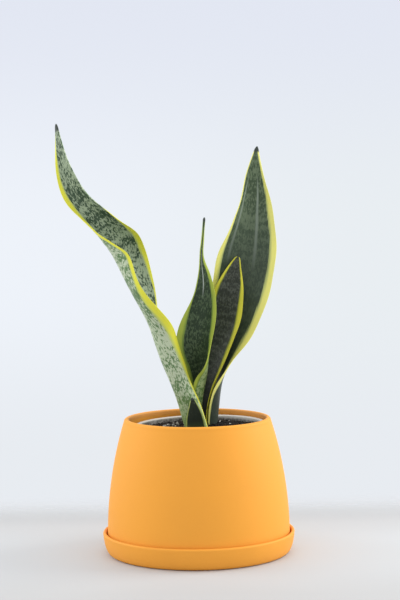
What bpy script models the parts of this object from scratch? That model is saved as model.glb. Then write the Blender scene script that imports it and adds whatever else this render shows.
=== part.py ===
"""Potted snake plant: five leaves on a rhizome, in soil, in a grow pot, in a cover pot on a saucer.

The origin is the centre of the saucer's foot, +Z is up and -Y is the front.
"""

import math
import random

import bmesh
import bpy
import numpy as np

# Gaps between pieces that touch or pass through each other.
CONTACT_GAP = 0.0003
SLOT_CLEARANCE = 0.0009
MERGE_DISTANCE = 0.00005

# Cover pot: a rounded foot, a short upright band, then one long arc in to the mouth.
POT_RADIUS = 0.0750
POT_MOUTH_RADIUS = 0.0597
POT_HEIGHT = 0.1061
POT_WALL = 0.0042
POT_FLOOR = 0.0060
POT_FOOT_RADIUS = 0.0680
POT_FOOT_ROUND_HEIGHT = 0.0084
POT_DRAIN_RADIUS = 0.0080
POT_LIP_OUTER_ROUND = 0.0024
POT_LIP_INNER_ROUND = 0.0016

# Saucer: it clears the pot by the same gap all round.
SAUCER_CLEARANCE = 0.0013
SAUCER_HEIGHT = 0.0175
SAUCER_WALL = 0.0028
SAUCER_FLOOR = 0.0040
SAUCER_FOOT_INSET = 0.0062
SAUCER_SIDE_CURVE_HEIGHT = 0.0221
SAUCER_INNER_ROUND = 0.0025

# Grow pot: it hangs below the lip, stands a little off centre and leans by about a degree.
GROW_POT_CLEARANCE = 0.0016
GROW_POT_BELOW_LIP = 0.0050
GROW_POT_BASE_RADIUS = 0.0370
GROW_POT_WALL = 0.0012
GROW_POT_RIM_WIDTH = 0.0026
GROW_POT_RIM_DEPTH = 0.0050
GROW_POT_SHIFT = 0.0036
GROW_POT_LEAN = math.radians(0.95)
GROW_POT_HOLE_RADIUS = 0.0035
GROW_POT_HOLE_INSET = 0.0130
GROW_POT_HOLE_COUNT = 6
GROW_POT_HOLE_TURN = math.radians(11)

# Soil, heaped behind and to the right of the leaves.
SOIL_BELOW_RIM = 0.0044
SOIL_HEAP_HEIGHT = 0.0030
SOIL_HEAP_SPREAD = 0.0180
SOIL_HEAP_CENTRE = (0.0120, 0.0100)
SOIL_LUMP_HEIGHT = 0.0005

# Rhizome: a low knob that the leaves stand on.
RHIZOME_RADIUS = 0.0205
RHIZOME_DEPTH = 0.0150
RHIZOME_TOP_ROUND = 0.0030
RHIZOME_CENTRE = (0.0025, 0.0010)

# Leaves.
LEAF_THICKNESS = 0.0020
LEAF_MARGIN_THINNING = 0.45
LEAF_FOOT_BELOW_SOIL = 0.0130
LEAF_LEVEL_SHARE = 0.12
PLANT_HEIGHT_SCALE = 1.0
PLANT_SPREAD_SCALE = 1.0
SLOT_SHARE = 0.5
SLOT_DROP = 0.0010

# Perlite grains, in an arc on the soil to the left of the leaves.
GRAIN_COUNT = 8
GRAIN_RADIUS = 0.0013
GRAIN_ARC = (math.radians(115), math.radians(215))
GRAIN_RING = (0.52, 0.86)
GRAIN_ROUGHNESS = 0.15
GRAIN_LIFT = 0.0004
GRAIN_SEED = 7

# Facets.
POT_STEPS = 56
GROW_POT_STEPS = 48
SOIL_STEPS = 40
RHIZOME_STEPS = 24
ARC_POINTS = 4

# Sizes that follow from those above.
SAUCER_RADIUS = POT_RADIUS + SAUCER_CLEARANCE + SAUCER_WALL
POT_FOOT_Z = SAUCER_FLOOR + CONTACT_GAP
POT_FLOOR_Z = POT_FOOT_Z + POT_FLOOR
POT_LIP_Z = POT_FOOT_Z + POT_HEIGHT
GROW_POT_RIM_RADIUS = POT_MOUTH_RADIUS - POT_WALL - GROW_POT_CLEARANCE
GROW_POT_BODY_RADIUS = GROW_POT_RIM_RADIUS - GROW_POT_RIM_WIDTH
GROW_POT_FOOT_Z = POT_FLOOR_Z + CONTACT_GAP + GROW_POT_BASE_RADIUS * math.sin(GROW_POT_LEAN)
GROW_POT_HEIGHT = POT_LIP_Z - GROW_POT_BELOW_LIP - GROW_POT_FOOT_Z
SOIL_Z = GROW_POT_FOOT_Z + GROW_POT_HEIGHT - SOIL_BELOW_RIM
LEAF_FOOT_Z = SOIL_Z - LEAF_FOOT_BELOW_SOIL
RHIZOME_TOP_Z = LEAF_FOOT_Z - 2 * CONTACT_GAP

# Each leaf from foot to tip, at even shares of its length. In millimetres from the middle of the
# feet: x, y and height of the midrib, and the half width of the blade laid flat. In degrees: the
# way that its width points, seen from above, and half the angle that it is rolled through.
LEAF_STATIONS = {
    "leaf_left_tall": (
        (-4.0, -0.5, 0.0, 17.5, 125, 76),
        (-11.5, -5.5, 35.0, 15.0, 149, 99),
        (-26.5, -7.0, 75.5, 16.5, 143, 102),
        (-45.5, -5.0, 115.5, 24.5, 85, 62),
        (-63.5, 0.0, 154.5, 28.5, 67, 89),
        (-75.5, -2.0, 181.0, 18.0, 15, 100),
        (-99.0, -2.0, 214.0, 11.3, -21, 67),
        (-111.5, -1.5, 264.0, 1.5, -60, 11),
    ),
    "leaf_right_broad": (
        (14.0, 12.0, 0.0, 12.5, -71, 86),
        (17.0, 13.5, 32.5, 16.0, -78, 79),
        (21.5, 15.5, 67.5, 19.5, -43, 48),
        (34.0, 18.0, 109.0, 24.0, -10, 37),
        (42.0, 21.5, 154.5, 26.0, 8, 40),
        (47.5, 22.5, 197.0, 17.5, 22, 63),
        (52.5, 23.5, 244.5, 1.0, -23, 69),
    ),
    "leaf_centre": (
        (3.0, 8.5, 0.0, 7.5, -96, 94),
        (3.3, 7.8, 32.5, 10.7, -99, 109),
        (5.9, 8.4, 61.0, 17.4, -52, 104),
        (1.8, 3.5, 86.0, 19.3, -24, 63),
        (8.0, 1.5, 120.0, 12.0, -10, 55),
        (6.0, 1.5, 146.5, 3.5, 7, 41),
        (6.0, 1.0, 164.5, 1.0, 12, 36),
        (8.0, 0.0, 186.5, 1.0, 14, 29),
    ),
    "leaf_centre_right": (
        (8.5, 11.0, 0.0, 8.0, -63, 60),
        (8.0, 11.5, 32.0, 9.0, -62, 55),
        (17.0, 11.5, 64.0, 13.0, -48, 48),
        (25.5, 12.0, 98.0, 15.5, -29, 41),
        (28.5, 11.5, 128.0, 12.0, -5, 30),
        (35.5, 11.5, 154.0, 1.5, 1, 24),
    ),
    "leaf_front_sprout": (
        (-0.5, -11.5, 0.0, 9.0, 0, 50),
        (-1.0, -12.5, 16.0, 8.5, 1, 44),
        (-2.5, -13.0, 28.5, 6.0, 2, 38),
        (-4.0, -14.0, 40.5, 1.0, 7, 35),
    ),
}

# Blade facets, along and across.
LEAF_GRID = {
    "leaf_left_tall": (34, 8),
    "leaf_right_broad": (28, 8),
    "leaf_centre": (30, 8),
    "leaf_centre_right": (20, 6),
    "leaf_front_sprout": (10, 6),
}

# Colour and roughness of each material.
MATERIALS = {
    "saucer_ceramic": ((0.80, 0.36, 0.060), 0.62),
    "pot_ceramic": ((0.82, 0.37, 0.060), 0.60),
    "white_plastic": ((0.82, 0.83, 0.82), 0.45),
    "soil": ((0.020, 0.015, 0.012), 0.95),
    "rhizome_skin": ((0.55, 0.32, 0.14), 0.80),
    "perlite": ((0.85, 0.84, 0.80), 0.90),
    "leaf_left_tall": ((0.110, 0.190, 0.085), 0.45),
    "leaf_right_broad": ((0.050, 0.095, 0.045), 0.40),
    "leaf_centre": ((0.045, 0.100, 0.040), 0.38),
    "leaf_centre_right": ((0.028, 0.045, 0.030), 0.42),
    "leaf_front_sprout": ((0.030, 0.060, 0.030), 0.42),
}


def clear_scene():
    for obj in list(bpy.data.objects):
        bpy.data.objects.remove(obj, do_unlink=True)


def new_collection(name, hidden=False):
    collection = bpy.data.collections.new(name)
    collection.hide_render = hidden
    bpy.context.scene.collection.children.link(collection)
    return collection


def new_material(name):
    colour, roughness = MATERIALS[name]
    material = bpy.data.materials.new(name)
    material.use_nodes = True
    shader = material.node_tree.nodes["Principled BSDF"]
    shader.inputs["Base Color"].default_value = (*colour, 1.0)
    shader.inputs["Roughness"].default_value = roughness
    shader.inputs["Metallic"].default_value = 0.0
    return material


def new_object(name, mesh, collection, material=None, parent=None):
    """A piece of the plant with its material, or a cutter when it has none."""
    obj = bpy.data.objects.new(name, mesh)
    collection.objects.link(obj)
    obj.parent = parent
    if material:
        mesh.materials.append(new_material(material))
    else:
        obj.hide_render = True
        obj.display_type = "WIRE"
    return obj


def mesh_from(bm, name):
    mesh = bpy.data.meshes.new(name)
    bm.to_mesh(mesh)
    bm.free()
    mesh.shade_smooth()
    return mesh


def quarter_arc(centre, across, up, start, end, points=ARC_POINTS):
    """Points of an elliptical arc about centre, with half axes across and up, angles in degrees."""
    angles = [math.radians(start + (end - start) * i / points) for i in range(points + 1)]
    return [(centre[0] + across * math.cos(a), centre[1] + up * math.sin(a)) for a in angles]


def turned_mesh(name, profile, closed=False):
    """The bare profile of a turned piece, in the XZ plane; its Screw modifier turns it."""
    bm = bmesh.new()
    points = [bm.verts.new((radius, 0.0, height)) for radius, height in profile]
    for start, end in zip(points, points[1:]):
        bm.edges.new((start, end))
    if closed:
        bm.edges.new((points[-1], points[0]))
    return mesh_from(bm, name)


def turn(obj, steps):
    screw = obj.modifiers.new("turn", "SCREW")
    screw.steps = steps
    screw.render_steps = steps
    screw.use_merge_vertices = True
    screw.merge_threshold = MERGE_DISTANCE
    screw.use_smooth_shade = True


def cut(obj, cutter):
    boolean = obj.modifiers.new(cutter.name, "BOOLEAN")
    boolean.operation = "DIFFERENCE"
    boolean.solver = "EXACT"
    boolean.object = cutter


def saucer_side_radius(height):
    """The saucer's outer side is a quarter ellipse that starts flat at the foot."""
    angle = math.acos(1 - height / SAUCER_SIDE_CURVE_HEIGHT)
    return SAUCER_RADIUS - SAUCER_FOOT_INSET * (1 - math.sin(angle))


def saucer_profile():
    """From the middle of the floor, over the rim and down the outer side to the foot's middle."""
    lip_centre_z = SAUCER_HEIGHT - SAUCER_WALL / 2
    lip_centre_r = saucer_side_radius(lip_centre_z) - SAUCER_WALL / 2
    inner_start_z = SAUCER_FLOOR + SAUCER_INNER_ROUND
    inner_start_r = saucer_side_radius(inner_start_z) - SAUCER_WALL
    profile = [(0.0, SAUCER_FLOOR)]
    profile += quarter_arc(
        (inner_start_r - SAUCER_INNER_ROUND, inner_start_z),
        SAUCER_INNER_ROUND,
        SAUCER_INNER_ROUND,
        -90,
        0,
    )
    profile += quarter_arc(
        (lip_centre_r, lip_centre_z), SAUCER_WALL / 2, SAUCER_WALL / 2, 180, 0, 6
    )
    side_points = 7
    for i in range(side_points):
        share = 1 - (i + 1) / side_points
        height = lip_centre_z * share**2
        profile.append((saucer_side_radius(height), height))
    profile.append((0.0, 0.0))
    return profile


def pot_side_radius(height):
    """The pot's outer radius: upright above the rounded foot, then an arc that ends at the mouth."""
    rise = POT_HEIGHT - POT_FOOT_ROUND_HEIGHT
    inset = POT_RADIUS - POT_MOUTH_RADIUS
    arc_radius = (rise**2 + inset**2) / (2 * inset)
    above = max(height - POT_FOOT_ROUND_HEIGHT, 0.0)
    return POT_RADIUS - arc_radius + math.sqrt(arc_radius**2 - above**2)


def pot_profile():
    """A closed outline, heights from the pot's foot: floor, inner wall, lip, outer side, foot."""
    lip_z = POT_HEIGHT - POT_LIP_OUTER_ROUND
    lip_r = pot_side_radius(lip_z)
    inner_lip_z = POT_HEIGHT - POT_LIP_INNER_ROUND
    inner_lip_r = lip_r - POT_WALL
    inner_bottom_z = 2 * POT_FLOOR
    wall_points = 5
    profile = [(POT_DRAIN_RADIUS, POT_FLOOR)]
    profile += quarter_arc(
        (pot_side_radius(inner_bottom_z) - POT_WALL - POT_FLOOR, inner_bottom_z),
        POT_FLOOR,
        POT_FLOOR,
        -90,
        0,
        3,
    )
    for i in range(1, wall_points):
        height = inner_bottom_z + (inner_lip_z - inner_bottom_z) * i / wall_points
        profile.append((pot_side_radius(height) - POT_WALL, height))
    profile += quarter_arc(
        (inner_lip_r + POT_LIP_INNER_ROUND, inner_lip_z),
        POT_LIP_INNER_ROUND,
        POT_LIP_INNER_ROUND,
        180,
        90,
        3,
    )
    profile += quarter_arc(
        (lip_r - POT_LIP_OUTER_ROUND, lip_z), POT_LIP_OUTER_ROUND, POT_LIP_OUTER_ROUND, 90, 0, 3
    )
    side_points = 9
    for i in range(1, side_points):
        height = lip_z + (POT_FOOT_ROUND_HEIGHT - lip_z) * i / side_points
        profile.append((pot_side_radius(height), height))
    profile += quarter_arc(
        (POT_FOOT_RADIUS, POT_FOOT_ROUND_HEIGHT),
        POT_RADIUS - POT_FOOT_RADIUS,
        POT_FOOT_ROUND_HEIGHT,
        0,
        -90,
        4,
    )
    profile.append((POT_DRAIN_RADIUS, 0.0))
    return profile


def grow_pot_inner_radius(height):
    """Inside radius of the tapered grow pot at a height above its foot."""
    top = GROW_POT_HEIGHT - GROW_POT_RIM_DEPTH
    taper = (GROW_POT_BODY_RADIUS - GROW_POT_BASE_RADIUS) / top
    return GROW_POT_BASE_RADIUS + taper * min(height, top) - GROW_POT_WALL


def grow_pot_profile():
    """From the middle of the floor up the inside, over the thick rim, and down to the foot."""
    rim_inner = grow_pot_inner_radius(GROW_POT_HEIGHT)
    rim_low = GROW_POT_HEIGHT - GROW_POT_RIM_DEPTH
    rim_round = GROW_POT_WALL
    return [
        (0.0, GROW_POT_WALL),
        (grow_pot_inner_radius(GROW_POT_WALL), GROW_POT_WALL),
        (rim_inner, rim_low),
        (rim_inner, GROW_POT_HEIGHT - rim_round / 2),
        (rim_inner + rim_round / 2, GROW_POT_HEIGHT),
        (GROW_POT_RIM_RADIUS - rim_round / 2, GROW_POT_HEIGHT),
        (GROW_POT_RIM_RADIUS, GROW_POT_HEIGHT - rim_round / 2),
        (GROW_POT_RIM_RADIUS, rim_low),
        (GROW_POT_BODY_RADIUS, rim_low),
        (GROW_POT_BASE_RADIUS, 0.0),
        (0.0, 0.0),
    ]


def rhizome_profile(grow):
    """A knob with a nearly flat top and a deep round underside, grown outward by grow."""
    radius = RHIZOME_RADIUS + grow
    top = grow
    bottom = -RHIZOME_DEPTH - grow
    top_round = RHIZOME_TOP_ROUND
    shoulder_z = top - top_round
    profile = [(0.0, top)]
    profile += quarter_arc(
        (radius - top_round, shoulder_z), top_round, top_round, 90, 0, 3
    )
    profile += quarter_arc(
        (radius / 2, shoulder_z), radius / 2, shoulder_z - bottom, 0, -90, 5
    )[1:]
    profile.append((0.0, bottom))
    return profile


def soil_height(x, y):
    """Top of the soil above its mean level: one heap and small lumps that fade out at the wall."""
    rim = grow_pot_inner_radius(GROW_POT_HEIGHT - SOIL_BELOW_RIM)
    fade = max(0.0, 1 - (math.hypot(x, y) / rim) ** 4)
    from_heap = math.hypot(x - SOIL_HEAP_CENTRE[0], y - SOIL_HEAP_CENTRE[1])
    heap = SOIL_HEAP_HEIGHT * math.exp(-((from_heap / SOIL_HEAP_SPREAD) ** 2))
    lumps = math.sin(260 * x + 1.3) * math.sin(240 * y + 0.4) + math.sin(330 * x - 300 * y)
    return fade * (heap + SOIL_LUMP_HEIGHT * lumps)


def soil_mesh():
    """A tapered plug spun from its outline, with the rings of its top lifted to the soil's shape."""
    bottom = GROW_POT_WALL + CONTACT_GAP
    top = GROW_POT_HEIGHT - SOIL_BELOW_RIM
    bottom_radius = grow_pot_inner_radius(bottom) - 2 * CONTACT_GAP
    top_radius = grow_pot_inner_radius(top) - 2 * CONTACT_GAP
    rings = 9
    outline = [(0.0, bottom), (bottom_radius, bottom)]
    outline += [(top_radius * (1 - i / rings), top) for i in range(rings + 1)]
    bm = bmesh.new()
    points = [bm.verts.new((radius, 0.0, height)) for radius, height in outline]
    edges = [bm.edges.new(pair) for pair in zip(points, points[1:])]
    bmesh.ops.spin(
        bm,
        geom=points + edges,
        cent=(0, 0, 0),
        axis=(0, 0, 1),
        angle=2 * math.pi,
        steps=SOIL_STEPS,
        use_merge=True,
    )
    bmesh.ops.remove_doubles(bm, verts=bm.verts, dist=MERGE_DISTANCE)
    bmesh.ops.recalc_face_normals(bm, faces=bm.faces)
    for vert in bm.verts:
        if vert.co.z > top - CONTACT_GAP:
            vert.co.z = top + soil_height(vert.co.x, vert.co.y)
    return mesh_from(bm, "potting_soil")


def smooth_through(stations, shares):
    """Natural cubic spline through evenly spaced stations: its values and slopes at the shares."""
    count = len(stations)
    system = np.zeros((count, count))
    system[0, 0] = system[-1, -1] = 1.0
    bend = np.zeros_like(stations)
    for i in range(1, count - 1):
        system[i, i - 1 : i + 2] = (1.0, 4.0, 1.0)
        bend[i] = 6 * (stations[i + 1] - 2 * stations[i] + stations[i - 1])
    curve = np.linalg.solve(system, bend)
    along = shares * (count - 1)
    left = np.minimum(along.astype(int), count - 2)
    ahead = (along - left)[:, None]
    behind = 1 - ahead
    values = behind * stations[left] + ahead * stations[left + 1]
    values += ((behind**3 - behind) * curve[left] + (ahead**3 - ahead) * curve[left + 1]) / 6
    slopes = stations[left + 1] - stations[left]
    slopes += ((1 - 3 * behind**2) * curve[left] + (3 * ahead**2 - 1) * curve[left + 1]) / 6
    return values, slopes


def unit(vectors):
    return vectors / np.linalg.norm(vectors, axis=1)[:, None]


def leaf_stations(name):
    """The leaf's stations in metres and radians, with the plant's two scales applied."""
    stations = np.array(LEAF_STATIONS[name], dtype=float)
    stations[:, :4] *= 0.001
    stations[:, 4:] = np.radians(stations[:, 4:])
    stations[:, (0, 1, 3)] *= PLANT_SPREAD_SCALE
    stations[:, 2] *= PLANT_HEIGHT_SCALE
    return stations


def rolled_blade(stations, along, across, widen):
    """Points of the middle surface, and the leaf's direction there, for arrays along and across.

    Each cross-section is an arc whose middle lies on the spline through the stations. It is rolled
    through the stations' angle, towards the leaf's inner side. Across is -1 and 1 at the margins;
    a point past them lies on the same arc, widen beyond the margin.
    """
    values, slopes = smooth_through(stations, along)
    half_width = values[:, 3]
    heading = values[:, 4]
    roll = values[:, 5]
    inside = np.clip(across, -1, 1)
    beyond = np.sign(across - inside)
    angle = roll * (inside + beyond * widen / half_width)
    forward = unit(slopes[:, :3])
    level = np.stack([np.cos(heading), np.sin(heading), 0 * heading], axis=1)
    side = unit(level - (level * forward).sum(axis=1)[:, None] * forward)
    inward = np.cross(side, forward)
    out = half_width * np.sin(angle) / roll
    lift = half_width * (1 - np.cos(angle)) / roll
    return values[:, :3] + out[:, None] * side + lift[:, None] * inward, forward


def blade(name, along, across, widen=0.0, drop=0.0):
    """Points of a leaf from its foot, along 0, to its tip, along 1; across is -1 to 1 at the margins.

    The foot is level, drop below zero height: each lengthwise line slides along the leaf's own
    direction until its lower end is there, and the slide fades out a little way up.
    """
    stations = leaf_stations(name)
    points, _ = rolled_blade(stations, along, across, widen)
    foot, foot_forward = rolled_blade(stations, 0 * along, across, widen)
    slide = -(foot[:, 2] + drop) / foot_forward[:, 2]
    fade = np.clip(1 - along / LEAF_LEVEL_SHARE, 0, 1) ** 2
    return points + (fade * slide)[:, None] * foot_forward


def leaf_mesh(name, top_share=1.0, widen=0.0, drop=0.0):
    """A grid bent into the blade, from the foot up to top_share of the leaf's length.

    A widened grid keeps the blade's own columns and has one more past each margin.
    """
    rows, columns = LEAF_GRID[name]
    past_margin = 1 if widen else 0
    all_columns = columns + 2 * past_margin
    bm = bmesh.new()
    bmesh.ops.create_grid(
        bm, x_segments=all_columns, y_segments=round(rows * top_share), size=1.0
    )
    column = np.array([round((vert.co.x + 1) / 2 * all_columns) for vert in bm.verts])
    across = 2 * (column - past_margin) / columns - 1
    along = np.array([(vert.co.y + 1) / 2 for vert in bm.verts]) * top_share
    points = blade(name, along, across, widen, drop)
    for vert, point in zip(bm.verts, points):
        vert.co = point
    mesh = mesh_from(bm, name)
    return mesh, 1 - LEAF_MARGIN_THINNING * np.clip(across, -1, 1) ** 2


def thicken(obj, thickness, shares):
    """Solidify about the middle surface, thinner towards the margins."""
    group = obj.vertex_groups.new(name="thickness")
    for index, share in enumerate(shares):
        group.add([index], float(share), "REPLACE")
    solidify = obj.modifiers.new("thickness", "SOLIDIFY")
    solidify.thickness = thickness
    solidify.offset = 0.0
    solidify.use_even_offset = True
    solidify.vertex_group = group.name


def make_leaf(name, plant, cutters):
    """One leaf and the cutter of its slot in the soil."""
    mesh, shares = leaf_mesh(name)
    leaf = new_object(name, mesh, plant, material=name)
    leaf.location.z = LEAF_FOOT_Z
    thicken(leaf, LEAF_THICKNESS, shares)
    slot_mesh, slot_shares = leaf_mesh(name, SLOT_SHARE, SLOT_CLEARANCE, SLOT_DROP)
    slot = new_object(name + "_slot", slot_mesh, cutters)
    slot.location.z = LEAF_FOOT_Z
    thicken(slot, LEAF_THICKNESS + 2 * SLOT_CLEARANCE, slot_shares)
    return slot


def make_saucer(plant):
    saucer = new_object("saucer", turned_mesh("saucer", saucer_profile()), plant, "saucer_ceramic")
    turn(saucer, POT_STEPS)


def make_pot(plant):
    mesh = turned_mesh("ceramic_pot", pot_profile(), closed=True)
    pot = new_object("ceramic_pot", mesh, plant, "pot_ceramic")
    pot.location.z = POT_FOOT_Z
    turn(pot, POT_STEPS)


def make_grow_pot_frame(plant):
    """The leaning frame that the grow pot, its soil and the perlite share."""
    frame = bpy.data.objects.new("grow_pot_frame", None)
    plant.objects.link(frame)
    frame.location = (GROW_POT_SHIFT, 0.0, GROW_POT_FOOT_Z)
    frame.rotation_euler = (0.0, -GROW_POT_LEAN, 0.0)
    return frame


def make_grow_pot(plant, cutters, frame):
    mesh = turned_mesh("grow_pot", grow_pot_profile())
    grow_pot = new_object("grow_pot", mesh, plant, "white_plastic", frame)
    turn(grow_pot, GROW_POT_STEPS)
    for i in range(GROW_POT_HOLE_COUNT):
        angle = 2 * math.pi * i / GROW_POT_HOLE_COUNT + GROW_POT_HOLE_TURN
        circle = GROW_POT_BASE_RADIUS - GROW_POT_HOLE_INSET
        bm = bmesh.new()
        bmesh.ops.create_cone(
            bm,
            cap_ends=True,
            segments=12,
            radius1=GROW_POT_HOLE_RADIUS,
            radius2=GROW_POT_HOLE_RADIUS,
            depth=4 * GROW_POT_WALL,
        )
        hole = new_object(f"drain_hole_{i + 1}", mesh_from(bm, "drain_hole"), cutters, parent=frame)
        hole.location = (circle * math.cos(angle), circle * math.sin(angle), GROW_POT_WALL / 2)
        cut(grow_pot, hole)


def make_rhizome(plant, cutters):
    """The rhizome and the cutter of its pocket in the soil."""
    place = (*RHIZOME_CENTRE, RHIZOME_TOP_Z)
    mesh = turned_mesh("rhizome", rhizome_profile(0.0))
    rhizome = new_object("rhizome", mesh, plant, "rhizome_skin")
    pocket = new_object(
        "rhizome_pocket", turned_mesh("rhizome_pocket", rhizome_profile(CONTACT_GAP)), cutters
    )
    for obj in (rhizome, pocket):
        obj.location = place
        turn(obj, RHIZOME_STEPS)
    return pocket


def make_soil(plant, frame, hollows):
    soil = new_object("potting_soil", soil_mesh(), plant, "soil", frame)
    for hollow in hollows:
        cut(soil, hollow)


def make_grains(plant, frame):
    """Loose grains of perlite, each a lumpy ball that rests on the soil."""
    draw = random.Random(GRAIN_SEED)
    top = GROW_POT_HEIGHT - SOIL_BELOW_RIM
    soil_radius = grow_pot_inner_radius(top)
    for i in range(GRAIN_COUNT):
        angle = GRAIN_ARC[0] + (GRAIN_ARC[1] - GRAIN_ARC[0]) * i / (GRAIN_COUNT - 1)
        ring = soil_radius * draw.uniform(*GRAIN_RING)
        size = GRAIN_RADIUS * draw.uniform(0.75, 1.15)
        bm = bmesh.new()
        bmesh.ops.create_icosphere(bm, subdivisions=2, radius=size)
        for vert in bm.verts:
            vert.co *= 1 + draw.uniform(-GRAIN_ROUGHNESS, GRAIN_ROUGHNESS)
        mesh = mesh_from(bm, "perlite_grain")
        grain = new_object(f"perlite_grain_{i + 1}", mesh, plant, "perlite", frame)
        x = ring * math.cos(angle)
        y = ring * math.sin(angle)
        lift = size * (1 + GRAIN_ROUGHNESS) + GRAIN_LIFT
        grain.location = (x, y, top + soil_height(x, y) + lift)


def main():
    clear_scene()
    plant = new_collection("potted_snake_plant")
    cutters = new_collection("cutters", hidden=True)
    make_saucer(plant)
    make_pot(plant)
    frame = make_grow_pot_frame(plant)
    make_grow_pot(plant, cutters, frame)
    hollows = [make_rhizome(plant, cutters)]
    for name in LEAF_STATIONS:
        hollows.append(make_leaf(name, plant, cutters))
    make_soil(plant, frame, hollows)
    make_grains(plant, frame)


main()
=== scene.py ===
"""Visual model of a potted snake plant in a matte ceramic cover pot on its saucer.

Everything is in metres, in the CAD model's frame: the origin is the centre of the saucer's foot,
+Z is up and -Y is the front.
"""

import math

import bpy
import numpy as np
from mathutils import Matrix, Vector


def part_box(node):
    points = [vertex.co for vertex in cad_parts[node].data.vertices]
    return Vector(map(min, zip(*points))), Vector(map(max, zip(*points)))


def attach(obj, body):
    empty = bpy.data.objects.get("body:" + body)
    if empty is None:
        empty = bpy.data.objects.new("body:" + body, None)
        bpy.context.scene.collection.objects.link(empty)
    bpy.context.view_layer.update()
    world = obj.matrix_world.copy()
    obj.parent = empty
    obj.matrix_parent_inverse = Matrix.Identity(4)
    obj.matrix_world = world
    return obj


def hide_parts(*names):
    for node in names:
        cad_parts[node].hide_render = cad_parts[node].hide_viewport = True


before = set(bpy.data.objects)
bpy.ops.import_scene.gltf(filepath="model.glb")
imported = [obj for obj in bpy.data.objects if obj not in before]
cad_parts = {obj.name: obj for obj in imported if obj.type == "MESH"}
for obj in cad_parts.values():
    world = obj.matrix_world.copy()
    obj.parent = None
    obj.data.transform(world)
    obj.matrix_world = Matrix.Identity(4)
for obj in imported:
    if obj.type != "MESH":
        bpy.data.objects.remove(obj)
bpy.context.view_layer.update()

# ----------------------------------------
# Sizes of the CAD model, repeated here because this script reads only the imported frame.
# ----------------------------------------

POT_RADIUS = 0.0750
POT_MOUTH_RADIUS = 0.0597
POT_HEIGHT = 0.1061
POT_WALL = 0.0042
POT_FLOOR = 0.0060
POT_FOOT_RADIUS = 0.0680
POT_FOOT_ROUND_HEIGHT = 0.0084
POT_DRAIN_RADIUS = 0.0080
POT_LIP_OUTER_ROUND = 0.0024
POT_LIP_INNER_ROUND = 0.0016
POT_FOOT_Z = 0.0043

SAUCER_RADIUS = 0.0791
SAUCER_HEIGHT = 0.0175
SAUCER_WALL = 0.0028
SAUCER_FLOOR = 0.0040
SAUCER_FOOT_INSET = 0.0062
SAUCER_SIDE_CURVE_HEIGHT = 0.0221
SAUCER_INNER_ROUND = 0.0025

GROW_POT_SHIFT = 0.0036
GROW_POT_LEAN = math.radians(0.95)
GROW_POT_BASE_RADIUS = 0.0370
GROW_POT_WALL = 0.0012
GROW_POT_BODY_RADIUS = 0.0513
GROW_POT_RIM_DEPTH = 0.0050
GROW_POT_FOOT_Z = POT_FOOT_Z + POT_FLOOR + 0.0003 + GROW_POT_BASE_RADIUS * math.sin(GROW_POT_LEAN)
GROW_POT_HEIGHT = POT_FOOT_Z + POT_HEIGHT - 0.0050 - GROW_POT_FOOT_Z
SOIL_TOP = GROW_POT_HEIGHT - 0.0044
SOIL_HEAP_HEIGHT = 0.0030
SOIL_HEAP_SPREAD = 0.0180
SOIL_HEAP_CENTRE = (0.0120, 0.0100)
SOIL_LUMP_HEIGHT = 0.0005

LEAF_FOOT_Z = GROW_POT_FOOT_Z + SOIL_TOP - 0.0130
LEAF_THICKNESS = 0.0020
LEAF_MARGIN_THINNING = 0.45
LEAF_LEVEL_SHARE = 0.12
LEAF_TIP_LENGTH = 0.0028

# Each leaf from foot to tip, at even shares of its length. In millimetres from the middle of the
# feet: x, y and height of the midrib, and the half width of the blade laid flat. In degrees: the
# way that its width points, seen from above, and half the angle that it is rolled through.
LEAF_STATIONS = {
    "leaf_left_tall": (
        (-4.0, -0.5, 0.0, 17.5, 125, 76),
        (-11.5, -5.5, 35.0, 15.0, 149, 99),
        (-26.5, -7.0, 75.5, 16.5, 143, 102),
        (-45.5, -5.0, 115.5, 24.5, 85, 62),
        (-63.5, 0.0, 154.5, 28.5, 67, 89),
        (-75.5, -2.0, 181.0, 18.0, 15, 100),
        (-99.0, -2.0, 214.0, 11.3, -21, 67),
        (-111.5, -1.5, 264.0, 1.5, -60, 11),
    ),
    "leaf_right_broad": (
        (14.0, 12.0, 0.0, 12.5, -71, 86),
        (17.0, 13.5, 32.5, 16.0, -78, 79),
        (21.5, 15.5, 67.5, 19.5, -43, 48),
        (34.0, 18.0, 109.0, 24.0, -10, 37),
        (42.0, 21.5, 154.5, 26.0, 8, 40),
        (47.5, 22.5, 197.0, 17.5, 22, 63),
        (52.5, 23.5, 244.5, 1.0, -23, 69),
    ),
    "leaf_centre": (
        (3.0, 8.5, 0.0, 7.5, -96, 94),
        (3.3, 7.8, 32.5, 10.7, -99, 109),
        (5.9, 8.4, 61.0, 17.4, -52, 104),
        (1.8, 3.5, 86.0, 19.3, -24, 63),
        (8.0, 1.5, 120.0, 12.0, -10, 55),
        (6.0, 1.5, 146.5, 3.5, 7, 41),
        (6.0, 1.0, 164.5, 1.0, 12, 36),
        (8.0, 0.0, 186.5, 1.0, 14, 29),
    ),
    "leaf_centre_right": (
        (8.5, 11.0, 0.0, 8.0, -63, 60),
        (8.0, 11.5, 32.0, 9.0, -62, 55),
        (17.0, 11.5, 64.0, 13.0, -48, 48),
        (25.5, 12.0, 98.0, 15.5, -29, 41),
        (28.5, 11.5, 128.0, 12.0, -5, 30),
        (35.5, 11.5, 154.0, 1.5, 1, 24),
    ),
    "leaf_front_sprout": (
        (-0.5, -11.5, 0.0, 9.0, 0, 50),
        (-1.0, -12.5, 16.0, 8.5, 1, 44),
        (-2.5, -13.0, 28.5, 6.0, 2, 38),
        (-4.0, -14.0, 40.5, 1.0, 7, 35),
    ),
}

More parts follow.
